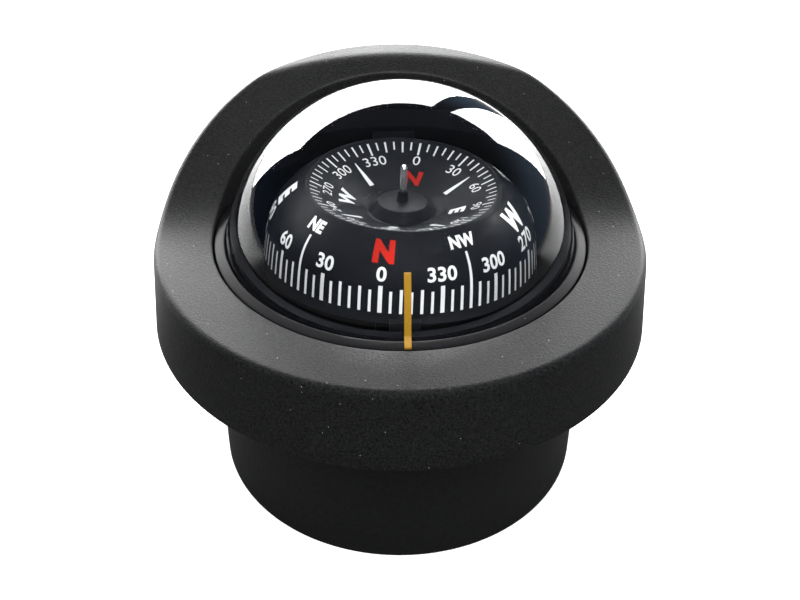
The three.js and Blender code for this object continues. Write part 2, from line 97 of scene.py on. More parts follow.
# ---------------------------------------------------------------- settings
class HousingSettings(bpy.types.PropertyGroup):
    radius: bpy.props.FloatProperty(
        name="Housing radius", description="Outer radius of the ring housing at the deck",
        default=highest("hood_housing").x * MM, unit="LENGTH", subtype="DISTANCE")
    lean: bpy.props.FloatProperty(
        name="Lean", description="How far the housing's side leans in on its way up",
        default=0.0024, unit="LENGTH", subtype="DISTANCE")
    rim: bpy.props.FloatProperty(
        name="Rim height", description="Height of the housing's flat top at the front",
        default=0.0947, unit="LENGTH", subtype="DISTANCE")
    hood: bpy.props.FloatProperty(
        name="Hood height", description="Height of the hood's highest point",
        default=0.1285, unit="LENGTH", subtype="DISTANCE")
    well: bpy.props.FloatProperty(
        name="Well radius", description="Radius of the opening round the capsule",
        default=0.067, unit="LENGTH", subtype="DISTANCE")
    colour: bpy.props.FloatVectorProperty(
        name="Housing colour", description="Colour of the housing's satin plastic",
        default=(0.0115, 0.0118, 0.0122), size=3, subtype="COLOR")
    base_colour: bpy.props.FloatVectorProperty(
        name="Base colour", description="Colour of the base case's grained plastic",
        default=(0.0095, 0.0098, 0.0104), size=3, subtype="COLOR")


class CapsuleSettings(bpy.types.PropertyGroup):
    radius: bpy.props.FloatProperty(
        name="Dome radius", description="Outer radius of the clear dome",
        default=highest("dome").z * MM - PIVOT_Z * MM, unit="LENGTH", subtype="DISTANCE")
    wall: bpy.props.FloatProperty(
        name="Dome wall", description="Thickness of the dome's wall",
        default=0.003, unit="LENGTH", subtype="DISTANCE")
    lubber_width: bpy.props.FloatProperty(
        name="Lubber strip width", description="Width of the strip that marks the course",
        default=0.0022, unit="LENGTH", subtype="DISTANCE")
    lubber_colour: bpy.props.FloatVectorProperty(
        name="Lubber colour", description="Colour of the lubber strip",
        default=(0.42, 0.225, 0.016), size=3, subtype="COLOR")


class CardSettings(bpy.types.PropertyGroup):
    radius: bpy.props.FloatProperty(
        name="Card radius", description="Radius of the card's skirt",
        default=0.0345, unit="LENGTH", subtype="DISTANCE")
    heading: bpy.props.FloatProperty(
        name="Heading", description="Bearing that stands at the bow",
        default=math.radians(348), subtype="ANGLE")
    dip: bpy.props.FloatProperty(
        name="Dip", description="How far the card's north side hangs down",
        default=math.radians(10.8), subtype="ANGLE")
    ink: bpy.props.FloatVectorProperty(
        name="Ink", description="Colour of the marks and figures",
        default=(0.66, 0.68, 0.69), size=3, subtype="COLOR")
    north_ink: bpy.props.FloatVectorProperty(
        name="North ink", description="Colour of the north letter",
        default=(0.42, 0.016, 0.010), size=3, subtype="COLOR")


class StageSettings(bpy.types.PropertyGroup):
    panel_power: bpy.props.FloatProperty(
        name="Panel power", description="Power of the light panels behind, for each square metre",
        default=46.0, min=0.0)
    fill_power: bpy.props.FloatProperty(
        name="Fill power", description="Power of the soft light overhead", default=15.5, min=0.0)
    room: bpy.props.FloatProperty(
        name="Room light", description="Strength of the light from all round", default=1.0, min=0.0)


# ---------------------------------------------------------------- meshes
def piece(name, vertices, faces, material, body, replaces=(), sharp=SHARP):
    """One smooth-shaded piece from points in millimetres, riding on a body of the frame."""
    mesh = bpy.data.meshes.new(name)
    mesh.from_pydata([Vector(v) * MM for v in vertices], [], faces)
    mesh.validate()
    mesh.materials.append(material)
    made = bpy.data.objects.new(name, mesh)
    bpy.context.scene.collection.objects.link(made)
    shade(mesh, sharp)
    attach(made, body)
    if replaces:
        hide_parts(*replaces)
    return made


def shade(mesh, sharp=SHARP):
    """Smooth shading, with the edges over an angle kept sharp."""
    for face in mesh.polygons:
        face.use_smooth = True
    mesh.set_sharp_from_angle(angle=sharp)


def revolve(profile, steps, closed=True):
    """Vertices and faces of a profile of (radius, height) turned round the Z axis."""
    vertices = []
    rows = []
    for radius, height in profile:
        if radius < 1e-6:
            rows.append([len(vertices)])
            vertices.append((0.0, 0.0, height))
            continue
        rows.append(list(range(len(vertices), len(vertices) + steps)))
        for i in range(steps):
            angle = 2 * math.pi * i / steps
            vertices.append((radius * math.cos(angle), radius * math.sin(angle), height))
    faces = []
    pairs = list(zip(rows, rows[1:]))
    if closed:
        pairs.append((rows[-1], rows[0]))
    for low, high in pairs:
        if len(low) == 1 and len(high) == 1:
            continue
        for i in range(steps):
            j = (i + 1) % steps
            if len(low) == 1:
                faces.append((low[0], high[j], high[i]))
            elif len(high) == 1:
                faces.append((low[i], low[j], high[0]))
            else:
                faces.append((low[i], low[j], high[j], high[i]))
    return vertices, faces


def arc(radius, start, end, count, centre=(0.0, 0.0)):
    """Points of a circle arc in the profile's plane; 0 degrees is outwards and 90 is up."""
    points = []
    for i in range(count + 1):
        angle = math.radians(start + (end - start) * i / count)
        r = centre[0] + radius * math.cos(angle)
        points.append((0.0 if abs(r) < 1e-9 else r, centre[1] + radius * math.sin(angle)))
    return points


def rounded(points, radius, steps=4, closed=True):
    """A profile with its corners rounded, each by no more than 0.45 of its shorter side."""
    made = []
    count = len(points)
    for i, point in enumerate(points):
        ends = not closed and i in (0, count - 1)
        here = Vector(point)
        before = Vector(points[i - 1])
        after = Vector(points[(i + 1) % count])
        if ends:
            made.append(point)
            continue
        to_before = (before - here)
        to_after = (after - here)
        turn = math.pi - to_before.angle(to_after, math.pi)
        if turn < math.radians(14):
            made.append(point)
            continue
        reach = min(radius * math.tan(turn / 2), 0.45 * to_before.length, 0.45 * to_after.length)
        first = here + to_before.normalized() * reach
        last = here + to_after.normalized() * reach
        for k in range(steps + 1):
            t = k / steps
            made.append(tuple(first * (1 - t) ** 2 + here * (2 * t * (1 - t)) + last * t ** 2))
    return made


def flowing(points, steps=6):
    """A smooth line through points of a profile."""
    made = []
    for i in range(len(points) - 1):
        p0 = Vector(points[max(i - 1, 0)])
        p1 = Vector(points[i])
        p2 = Vector(points[i + 1])
        p3 = Vector(points[min(i + 2, len(points) - 1)])
        for k in range(steps):
            t = k / steps
            made.append(tuple(0.5 * (2 * p1 + (p2 - p0) * t + (2 * p0 - 5 * p1 + 4 * p2 - p3) * t ** 2
                                     + (3 * p1 - p0 - 3 * p2 + p3) * t ** 3)))
    made.append(tuple(points[-1]))
    return made


def cylinder(radius, start, end, axis, centre, steps=48):
    """A scratch cylinder along X, Y or Z, used to cut and to join."""
    vertices, faces = revolve([(0, start), (radius, start), (radius, end), (0, end)], steps, closed=False)
    turn = {"X": Matrix.Rotation(math.radians(90), 3, "Y"),
            "Y": Matrix.Rotation(math.radians(-90), 3, "X"),
            "Z": Matrix.Identity(3)}[axis]
    mesh = bpy.data.meshes.new("scratch")
    mesh.from_pydata([(turn @ Vector(v) + Vector(centre)) * MM for v in vertices], [], faces)
    made = bpy.data.objects.new("scratch", mesh)
    bpy.context.scene.collection.objects.link(made)
    return made


def carve(target, tools, operation):
    """Joins scratch shapes to a piece or cuts them out of it, and removes them."""
    for tool in tools:
        modifier = target.modifiers.new("carve", "BOOLEAN")
        modifier.operation = operation
        modifier.solver = "EXACT"
        modifier.object = tool
    bpy.context.view_layer.update()
    result = bpy.data.meshes.new_from_object(target.evaluated_get(bpy.context.evaluated_depsgraph_get()))
    target.modifiers.clear()
    old = target.data
    material = old.materials[0]
    target.data = result
    result.materials.clear()
    result.materials.append(material)
    bpy.data.meshes.remove(old)
    for tool in tools:
        mesh = tool.data
        bpy.data.objects.remove(tool)
        bpy.data.meshes.remove(mesh)
    shade(result)


# ---------------------------------------------------------------- shader wiring
def feed(tree, socket, value):
    """Links a socket to another, or sets its value."""
    if isinstance(value, bpy.types.NodeSocket):
        tree.links.new(value, socket)
    else:
        socket.default_value = value


def node(tree, kind, inputs=None, **settings):
    """Adds a node with its settings and inputs."""
    made = tree.nodes.new(kind)
    for name, value in settings.items():
        setattr(made, name, value)
    for name, value in (inputs or {}).items():
        feed(tree, made.inputs[name], value)
    return made


def maths(tree, operation, a, b=0.0):
    return node(tree, "ShaderNodeMath", {0: a, 1: b}, operation=operation).outputs[0]


def mixed(tree, factor, a, b, way="MIX"):
    return node(tree, "ShaderNodeMix", {0: factor, 6: a, 7: b}, data_type="RGBA", blend_type=way).outputs[2]


def ranged(tree, value, low, high, to_low=0.0, to_high=1.0):
    made = node(tree, "ShaderNodeMapRange", {0: value, 1: low, 2: high, 3: to_low, 4: to_high})
    made.interpolation_type = "SMOOTHSTEP"
    return made.outputs[0]


def rgba(colour):
    return (*colour, 1.0) if len(colour) == 3 else tuple(colour)


def new_group(name, inputs, outputs):
    """An empty node group with named sockets; each is (name, kind, default)."""
    tree = bpy.data.node_groups.new(name, "ShaderNodeTree")
    for label, kind, default in inputs:
        socket = tree.interface.new_socket(label, in_out="INPUT", socket_type=kind)
        socket.default_value = default
    for label, kind in outputs:
        tree.interface.new_socket(label, in_out="OUTPUT", socket_type=kind)
    return tree, tree.nodes.new("NodeGroupInput").outputs, tree.nodes.new("NodeGroupOutput").inputs


def moulded_grain():
    """Group: the grain of moulded plastic or rubber, with a slow change of shade and of gloss."""
    name = "moulded grain"
    if name in bpy.data.node_groups:
        return bpy.data.node_groups[name]
    tree, given, result = new_group(
        name,
        [("Color", "NodeSocketColor", (0.02, 0.02, 0.02, 1)), ("Grain", "NodeSocketFloat", 1800.0),
         ("Pebble", "NodeSocketFloat", 0.5), ("Shade Change", "NodeSocketFloat", 0.2),
         ("Roughness", "NodeSocketFloat", 0.5), ("Gloss Change", "NodeSocketFloat", 0.1)],
        [("Color", "NodeSocketColor"), ("Roughness", "NodeSocketFloat"), ("Height", "NodeSocketFloat")])
    place = node(tree, "ShaderNodeTexCoord").outputs["Object"]
    fine = node(tree, "ShaderNodeTexNoise",
                {"Vector": place, "Scale": given["Grain"], "Detail": 2.0}).outputs[0]
    cells = node(tree, "ShaderNodeTexVoronoi", {"Vector": place, "Scale": given["Grain"]},
                 feature="SMOOTH_F1").outputs[0]
    broad = node(tree, "ShaderNodeTexNoise", {"Vector": place, "Scale": 38.0, "Detail": 3.0}).outputs[0]
    low = maths(tree, "MULTIPLY", fine, maths(tree, "SUBTRACT", 1.0, given["Pebble"]))
    high = maths(tree, "MULTIPLY", cells, given["Pebble"])
    height = maths(tree, "ADD", low, high)
    swing = maths(tree, "MULTIPLY", maths(tree, "SUBTRACT", broad, 0.5), 0.3)
    speckle = maths(tree, "MULTIPLY", maths(tree, "SUBTRACT", fine, 0.5), given["Shade Change"])
    factor = maths(tree, "ADD", 1.0, maths(tree, "ADD", swing, speckle))
    colour = node(tree, "ShaderNodeVectorMath", {0: given["Color"], 3: factor},
                  operation="SCALE").outputs[0]
    gloss = maths(tree, "MULTIPLY", maths(tree, "SUBTRACT", broad, 0.5), given["Gloss Change"])
    tree.links.new(colour, result["Color"])
    tree.links.new(maths(tree, "ADD", given["Roughness"], gloss), result["Roughness"])
    tree.links.new(height, result["Height"])
    return tree


def dust_specks():
    """Group: a thin scatter of small pale specks, as a mask and as a colour."""
    name = "dust specks"
    if name in bpy.data.node_groups:
        return bpy.data.node_groups[name]
    tree, given, result = new_group(
        name,
        [("Color", "NodeSocketColor", (0.02, 0.02, 0.02, 1)),
         ("Dust", "NodeSocketColor", (0.35, 0.35, 0.34, 1)),
         ("Spacing", "NodeSocketFloat", 420.0), ("Amount", "NodeSocketFloat", 0.1)],
        [("Color", "NodeSocketColor"), ("Mask", "NodeSocketFloat")])
    place = node(tree, "ShaderNodeTexCoord").outputs["Object"]
    cells = node(tree, "ShaderNodeTexVoronoi", {"Vector": place, "Scale": given["Spacing"]})
    near = ranged(tree, cells.outputs[0], 0.05, 0.11, 1.0, 0.0)
    pick = node(tree, "ShaderNodeSeparateColor", {0: cells.outputs[1]}).outputs[0]
    chosen = maths(tree, "LESS_THAN", pick, given["Amount"])
    mask = maths(tree, "MULTIPLY", near, chosen)
    tree.links.new(mixed(tree, mask, given["Color"], given["Dust"]), result["Color"])
    tree.links.new(mask, result["Mask"])
    return tree


def fine_scratches():
    """Group: the drawn-out marks of turning, brushing and wiping, as height and as a change of gloss."""
    name = "fine scratches"
    if name in bpy.data.node_groups:
        return bpy.data.node_groups[name]
    tree, given, result = new_group(
        name,
        [("Stretch", "NodeSocketVector", (400.0, 400.0, 9000.0)), ("Roughness", "NodeSocketFloat", 0.3),
         ("Gloss Change", "NodeSocketFloat", 0.2)],
        [("Roughness", "NodeSocketFloat"), ("Height", "NodeSocketFloat")])
    place = node(tree, "ShaderNodeTexCoord").outputs["Object"]
    drawn = node(tree, "ShaderNodeVectorMath", {0: place, 1: given["Stretch"]},
                 operation="MULTIPLY").outputs[0]
    lines = node(tree, "ShaderNodeTexNoise", {"Vector": drawn, "Scale": 1.0, "Detail": 3.0}).outputs[0]
    patches = node(tree, "ShaderNodeTexNoise", {"Vector": place, "Scale": 260.0, "Detail": 2.0}).outputs[0]
    both = maths(tree, "MULTIPLY", maths(tree, "ADD", lines, patches), 0.5)
    change = maths(tree, "MULTIPLY", maths(tree, "SUBTRACT", both, 0.5), given["Gloss Change"])
    tree.links.new(maths(tree, "ADD", given["Roughness"], change), result["Roughness"])
    tree.links.new(lines, result["Height"])
    return tree


def new_material(name):
    """A material with an empty tree, its output and a Principled shader."""
    material = bpy.data.materials.new(name)
    material.use_nodes = True
    tree = material.node_tree
    tree.nodes.clear()
    output = tree.nodes.new("ShaderNodeOutputMaterial")
    shader = tree.nodes.new("ShaderNodeBsdfPrincipled")
    tree.links.new(shader.outputs[0], output.inputs[0])
    return material, tree, shader


def use_group(tree, group, **inputs):
    """Places a group in a tree; inputs are given by name with _ for a space."""
    made = node(tree, "ShaderNodeGroup", node_tree=group)
    for name, value in inputs.items():
        feed(tree, made.inputs[name.replace("_", " ")], value)
    return made.outputs


def moulded(name, colour, grain=1800.0, depth=0.1, pebble=0.5, change=0.25, rough=0.5, gloss_change=0.12,
            dust=0.0, specular=0.5, metallic=0.0, spacing=420.0):
    """A moulded plastic, foam or rubber; depth is the grain's height in millimetres."""
    if name in bpy.data.materials:
        return bpy.data.materials[name]
    material, tree, shader = new_material(name)
    grained = use_group(tree, moulded_grain(), Color=rgba(colour), Grain=grain, Pebble=pebble,
                        Shade_Change=change, Roughness=rough, Gloss_Change=gloss_change)
    dusty = use_group(tree, dust_specks(), Color=grained["Color"], Amount=dust, Spacing=spacing)
    bump = node(tree, "ShaderNodeBump",
                {"Strength": 1.0, "Distance": depth * MM, "Height": grained["Height"]})
    feed(tree, shader.inputs["Base Color"], dusty["Color"])
    feed(tree, shader.inputs["Roughness"], grained["Roughness"])
    feed(tree, shader.inputs["Normal"], bump.outputs[0])
    shader.inputs["Specular IOR Level"].default_value = specular
    shader.inputs["Metallic"].default_value = metallic
    return material


def worked_metal(name, colour, rough, change, stretch=(300.0, 300.0, 8000.0), depth=0.01):
    """A turned or brushed metal."""
    if name in bpy.data.materials:
        return bpy.data.materials[name]
    material, tree, shader = new_material(name)
    marks = use_group(tree, fine_scratches(), Stretch=stretch, Roughness=rough, Gloss_Change=change)
    tone = use_group(tree, moulded_grain(), Color=rgba(colour), Grain=500.0, Shade_Change=0.25)
    bump = node(tree, "ShaderNodeBump",
                {"Strength": 1.0, "Distance": depth * MM, "Height": marks["Height"]})
    feed(tree, shader.inputs["Base Color"], tone["Color"])
    feed(tree, shader.inputs["Roughness"], marks["Roughness"])
    feed(tree, shader.inputs["Normal"], bump.outputs[0])
    shader.inputs["Metallic"].default_value = 1.0
    return material


def clear_plastic(name, index, smudge=0.0):
    """A clear wall that light passes and shadows ignore; index is the ratio seen from outside it."""
    if name in bpy.data.materials:
        return bpy.data.materials[name]
    material, tree, shader = new_material(name)
    marks = use_group(tree, fine_scratches(), Stretch=(60.0, 60.0, 60.0), Roughness=0.0,
                      Gloss_Change=smudge)
    feed(tree, shader.inputs["Roughness"], marks["Roughness"])
    shader.inputs["Base Color"].default_value = (1.0, 1.0, 1.0, 1.0)
    shader.inputs["IOR"].default_value = index
    shader.inputs["Transmission Weight"].default_value = 1.0
    shader.inputs["Metallic"].default_value = 0.0
    through = tree.nodes.new("ShaderNodeBsdfTransparent")
    path = tree.nodes.new("ShaderNodeLightPath")
    choice = node(tree, "ShaderNodeMixShader", {0: path.outputs["Is Shadow Ray"], 1: shader.outputs[0],
                                                2: through.outputs[0]})
    output = [n for n in tree.nodes if n.type == "OUTPUT_MATERIAL"][0]
    tree.links.new(choice.outputs[0], output.inputs[0])
    return material


def housing_finish():
    return moulded("satin housing plastic", bpy.context.scene.binnacle_housing.colour, grain=1500.0,
                   depth=0.16, pebble=0.35, change=3.2, rough=0.5, gloss_change=0.12, dust=0.08,
                   specular=0.24, spacing=520.0)


def base_finish():
    return moulded("grained base plastic", bpy.context.scene.binnacle_housing.base_colour, grain=620.0,
                   depth=0.14, pebble=0.6, change=0.9, rough=0.46, gloss_change=0.15, dust=0.02, specular=0.42)


def dark_finish():
    return moulded("black moulding", (0.012, 0.013, 0.015), grain=1500.0, depth=0.03, rough=0.42,
                   specular=0.45)


def sunk_finish():
    """Black plastic under the fluid, where hardly any gloss is left."""
    return moulded("black under fluid", (0.0045, 0.005, 0.0065), grain=1500.0, depth=0.03, change=0.3,
                   rough=0.6, specular=0.02)


def gloss_finish():
    return moulded("polished black", (0.0065, 0.0065, 0.0075), grain=240.0, depth=0.004, pebble=0.2,
                   change=0.2, rough=0.4, gloss_change=0.1, dust=0.04, specular=0.12, spacing=600.0)


def rubber_finish():
    return moulded("black rubber", (0.014, 0.014, 0.014), grain=1200.0, depth=0.05, rough=0.8, specular=0.3)


def steel_finish():
    return worked_metal("bright steel", (0.62, 0.63, 0.64), 0.24, 0.2)


def brass_finish():
    return worked_metal("turned brass", (0.64, 0.44, 0.16), 0.27, 0.2)


def magnet_finish():
    return worked_metal("ground magnet alloy", (0.3, 0.31, 0.33), 0.38, 0.25,
                        stretch=(5000.0, 300.0, 300.0))


# ---------------------------------------------------------------- housing
def soft_ramp(value, width):
    return value if value > 6 * width else width * math.log(1 + math.exp(value / width))


def hood_top(x, y, settings):
    """Height of the housing's top face: level at the front, then a ramp to a domed hood at the bow."""
    fall = 0.01 * ((settings.radius - settings.lean) / MM - math.hypot(x, y))
    raised = settings.rim / MM + 0.495 * soft_ramp(y - 8.0, 6.0) + fall
    cap = settings.hood / MM - 0.0016 * x * x
    return cap - soft_ramp(cap - raised, 0.35)


def housing_section(angle, settings):
    """Profile of the housing at one angle round it, from the deck up, over and down the well."""
    outside = settings.radius / MM
    upper = (settings.radius - settings.lean) / MM
    deck = lowest("hood_housing").z
    well = settings.well / MM
    wall = WALL
    foot = highest("deck_flange").z + GAP
    fillet = 2.8
    lip = 0.8
    edge_round = 0.7

    def at(r):
        return hood_top(r * math.cos(angle), r * math.sin(angle), settings)

    shoulder = at(upper - fillet) - fillet
    points = [(outside - 0.8, deck)]
    side = deck + edge_round
    points += arc(edge_round, -60, 0, 3, (outside - edge_round, side))
    points += [(outside + (upper - outside) * k / 4, side + (shoulder - side) * k / 4) for k in (1, 2, 3)]
    points += arc(fillet, 4, 84, 8, (upper - fillet, shoulder))
    top = upper - fillet
    stations = 18
    points += [(top + (well + lip - top) * k / stations, at(top + (well + lip - top) * k / stations))
               for k in range(stations + 1)]
    edge = at(well + lip)
    points += arc(lip, 100, 180, 4, (well + lip, edge - lip))
    points += [(well, foot + (edge - lip - foot) * k / 3) for k in (2, 1, 0)]
    points += [(well + wall, foot)]
    points += [(r, at(r) - wall) for r in (well + wall, 75.0, 81.0)]
    points += [(upper - wall, at(upper - wall) - wall - 1), (outside - wall, deck)]
    return points


class BINNACLE_OT_housing(bpy.types.Operator):
    """Build the ring housing with its raised hood and the bosses inside it"""
    bl_idname = "binnacle.housing"
    bl_label = "Housing"

    def execute(self, context):
        settings = context.scene.binnacle_housing
        steps = 320
        vertices = []
        faces = []
        count = 0
        for i in range(steps):
            angle = 2 * math.pi * i / steps
            section = housing_section(angle, settings)
            count = len(section)
            vertices += [(r * math.cos(angle), r * math.sin(angle), z) for r, z in section]
        for i in range(steps):
            j = (i + 1) % steps
            for k in range(count):
                up = (k + 1) % count
                faces.append((i * count + k, j * count + k, j * count + up, i * count + up))
        piece("housing", vertices, faces, housing_finish(), "case", ["hood_housing"])
        foot = highest("deck_flange").z + GAP
        for i, angle in enumerate(CORNERS):
            x, y = on_circle(BOSS_CIRCLE, angle)
            top = hood_top(x, y, settings) - 3.4
            profile = rounded([(1.8, foot), (5, foot), (5.6, top), (1.8, top)], 0.4)
            points, sides = revolve(profile, 40)
            piece(f"housing_boss_{i + 1}", [(px + x, py + y, pz) for px, py, pz in points], sides,
                  housing_finish(), "case")
        return {"FINISHED"}


class BINNACLE_OT_base_case(bpy.types.Operator):
    """Build the round base case with its flange, holes and lugs"""
    bl_idname = "binnacle.base_case"
    bl_label = "Base case"

    def execute(self, context):
        outside = highest("base_case").x
        inside = outside - 3.8
        top = highest("base_case").z
        profile = rounded([(inside, 0), (outside, 0), (outside, top), (inside, top)], 0.5)
        fine = []
        for (r0, z0), (r1, z1) in zip(profile, profile[1:] + profile[:1]):
            parts = max(1, round(math.hypot(r1 - r0, z1 - z0) / 12))
            fine += [(r0 + (r1 - r0) * k / parts, z0 + (z1 - z0) * k / parts) for k in range(parts)]
        vertices, faces = revolve(fine, 200)
        case = piece("base_shell", vertices, faces, base_finish(), "case", ["base_case"])
        lugs = []
        for angle in CORNERS:
            x, y = on_circle(LUG_CIRCLE, angle)
            lugs.append(cylinder(4.5, 5.3, 16, "Z", (x, y, 0)))
        carve(case, lugs, "UNION")
        ns_z = joint_point("ns_adjust").z
        ew_z = joint_point("ew_adjust").z
        gland_z = (lowest("cable_gland").z + highest("cable_gland").z) / 2
        holes = [cylinder(3.4, 55, 75, "Y", (0, 0, ns_z)), cylinder(3.4, -75, -55, "X", (0, 0, ew_z)),
                 cylinder(4.3, 55, 75, "Y", (0, 0, gland_z))]
        for angle in CORNERS:
            x, y = on_circle(LUG_CIRCLE, angle)
            holes.append(cylinder(1.8, 2, 12.5, "Z", (x, y, 0)))
        carve(case, holes, "DIFFERENCE")
        dress(["deck_flange", "base_cap"], base_finish())
        dress(["deck_gasket"], rubber_finish())
        names = [f"{kind}_screw_{i}" for kind in ("cap", "housing") for i in (1, 2, 3, 4)]
        dress(names, steel_finish())
        return {"FINISHED"}


# ---------------------------------------------------------------- capsule
BEZEL_RISE = 1.2
ACRYLIC = 1.49
FLUID = 1.43


class BINNACLE_OT_dome(bpy.types.Operator):
    """Build the clear dome, whose inner face meets the fluid"""
    bl_idname = "binnacle.dome"
    bl_label = "Dome"

    def execute(self, context):
        settings = context.scene.binnacle_capsule
        outside = settings.radius / MM
        inside = outside - settings.wall / MM
        flange = highest("dome").x
        foot = lowest("dome").z
        ledge = foot + 3
        centre = (0.0, PIVOT_Z)
        start = math.degrees(math.asin((ledge - PIVOT_Z) / outside))
        profile = [(inside - 0.1, foot), (flange, foot), (flange, ledge)]
        profile += arc(outside, start, 90, 60, centre)
        profile += arc(inside, 90, 1, 56, centre)
        vertices, faces = revolve(profile, 180)
        made = piece("clear_dome", vertices, faces, clear_plastic("clear dome", ACRYLIC), "case",
                     ["dome"], sharp=math.radians(40))
        made.data.materials.append(clear_plastic("dome to fluid", ACRYLIC / FLUID))
        for face in made.data.polygons:
            out = face.center - Vector((0, 0, PIVOT_Z * MM))
            if out.length / MM < (inside + outside) / 2 and face.normal.dot(out) < 0:
                face.material_index = 1
        return {"FINISHED"}


class BINNACLE_OT_bezel(bpy.types.Operator):
    """Build the polished ring that holds the dome"""
    bl_idname = "binnacle.bezel"
    bl_label = "Bezel ring"

    def execute(self, context):
        outer = highest("bezel_ring").x
        foot = lowest("bezel_ring").z
        lip = highest("bezel_ring").z
        top = lip - BEZEL_RISE
        seat = highest("dome").x + 0.3
        ledge = lowest("dome").z + 3.3
        corners = [(seat, foot), (outer, foot), (outer, top), (62.6, lip), (63.45, ledge), (seat, ledge)]
        profile = rounded(corners, 0.7, 6)
        vertices, faces = revolve(profile, 256)
        piece("polished_bezel", vertices, faces, gloss_finish(), "case", ["bezel_ring"])
        dress(["retaining_ring"], dark_finish())
        dress(["capsule_bowl", "dome_seal"], sunk_finish())
        dress(["diaphragm"], rubber_finish())
        dress(["diaphragm_ring"], steel_finish())
        dress(["fill_plug"], brass_finish())
        return {"FINISHED"}


class BINNACLE_OT_lubber(bpy.types.Operator):
    """Build the lubber strip that stands on the bezel and follows the dome"""
    bl_idname = "binnacle.lubber"
    bl_label = "Lubber strip"

    def execute(self, context):
        settings = context.scene.binnacle_capsule
        half = settings.lubber_width / MM / 2
        inner = settings.radius / MM + 0.3
        outer = inner + 1.0
        foot = highest("bezel_ring").z + 0.3
        low = foot - BEZEL_RISE
        end = highest("bezel_ring").x - 0.1
        start = math.degrees(math.asin((foot - PIVOT_Z) / inner))
        line = arc(inner, 30, start, 24, (0.0, PIVOT_Z))
        line += [(end, low), (end, low + 1)]
        line += arc(outer, start + 1.4, 30, 24, (0.0, PIVOT_Z))
        line = rounded(line, 0.3, 3)
        mesh = bmesh.new()
        for side in (-half, half):
            loop = [mesh.verts.new((side, -r, z)) for r, z in line]
            if side > 0:
                loop.reverse()
            mesh.faces.new(loop)
        mesh.verts.ensure_lookup_table()
        count = len(line)
        first = mesh.verts[:count]
        second = mesh.verts[count:]
        for i in range(count):
            j = (i + 1) % count
            mesh.faces.new((first[j], first[i], second[i], second[j]))
        bmesh.ops.recalc_face_normals(mesh, faces=mesh.faces)
        rim = [e for e in mesh.edges if abs(e.verts[0].co.x - e.verts[1].co.x) < 1e-6]
        bmesh.ops.bevel(mesh, geom=rim, offset=0.16, segments=2, affect="EDGES", profile=0.5)
        bmesh.ops.triangulate(mesh, faces=[f for f in mesh.faces if len(f.verts) > 4])
        vertices = [tuple(v.co) for v in mesh.verts]
        mesh.verts.index_update()
        faces = [tuple(v.index for v in f.verts) for f in mesh.faces]
        mesh.free()
        finish = moulded("amber lubber plastic", settings.lubber_colour, grain=900.0, depth=0.01,
                         change=0.25, rough=0.36, gloss_change=0.15)
        piece("lubber_mark", vertices, faces, finish, "case", ["lubber_strip"])
        return {"FINISHED"}


# ---------------------------------------------------------------- card
SKIRT = [(34.5, -6), (34.5, -1.5), (34.5, 3), (34.2, 6.5), (33.2, 9.8), (31.4, 12.8), (29.2, 15.5),
         (27, 17.7)]
RIM = [(27, 17.7), (26.2, 18.5), (25.5, 18.85), (24.9, 18.4)]
DISH_IN = (9, 12.35)
DISH_OUT = (24.9, 18.4)


class PrintedFace:
    """A turned face that print follows: distance along the profile from its first point."""

    def __init__(self, profile):
        self.points = [Vector(p) for p in profile]
        self.reach = [0.0]
        for a, b in zip(self.points, self.points[1:]):
            self.reach.append(self.reach[-1] + (b - a).length)

    def at(self, distance):
        """Point and direction of the profile at a distance along it."""
        last = len(self.points) - 2
        for i in range(last + 1):
            if distance <= self.reach[i + 1] or i == last:
                a = self.points[i]
                b = self.points[i + 1]
                along = (b - a).normalized()
                return a + along * (distance - self.reach[i]), along
        raise RuntimeError("the print runs off the card")

    def distance_at_height(self, height):
        """Distance along the profile where it reaches a height."""
        for i in range(len(self.points) - 1):
            low = self.points[i].y
            high = self.points[i + 1].y
            if min(low, high) <= height <= max(low, high) and abs(high - low) > 1e-9:
                return self.reach[i] + (height - low) / (high - low) * (self.reach[i + 1] - self.reach[i])
        raise RuntimeError(f"the card's face has no height {height}")


class Print:
    """Collects the ink of one colour as one mesh in the card's own axes, with north along +Y."""

    def __init__(self, lift=0.06):
        self.vertices = []
        self.faces = []
        self.lift = lift

    def lay(self, face, points, cells, centre, up_from, outward):
        """Lays a flat shape on a face: x goes round it and y along it. centre is the angle from +Y,
        clockwise seen from above; outward is 1 for the dish, read from the middle, and -1 for the skirt."""
        offset = len(self.vertices)
        middle, _ = face.at(up_from)
        for x, y in points:
            spot, along = face.at(up_from + y)
            angle = centre + outward * x / middle.x
            normal = Vector((along.y, -along.x)) if outward < 0 else Vector((-along.y, along.x))
            spot = spot + normal * self.lift
            self.vertices.append((spot.x * math.sin(angle), spot.x * math.cos(angle), spot.y))
        for cell in cells:
            self.faces.append(tuple(offset + i for i in (cell if outward < 0 else reversed(cell))))


def bar(width_low, width_high, length, across=2, along=8):
    """A straight mark, its foot at 0, as points and cells."""
    points = []
    for j in range(along + 1):
        t = j / along
        width = width_low + (width_high - width_low) * t
        points += [(width * (i / across - 0.5), length * t) for i in range(across + 1)]
    cells = []
    row = across + 1
    for j in range(along):
        for i in range(across):
            k = j * row + i
            cells.append((k, k + 1, k + row + 1, k + row))
    return points, cells


FIGURES = {}


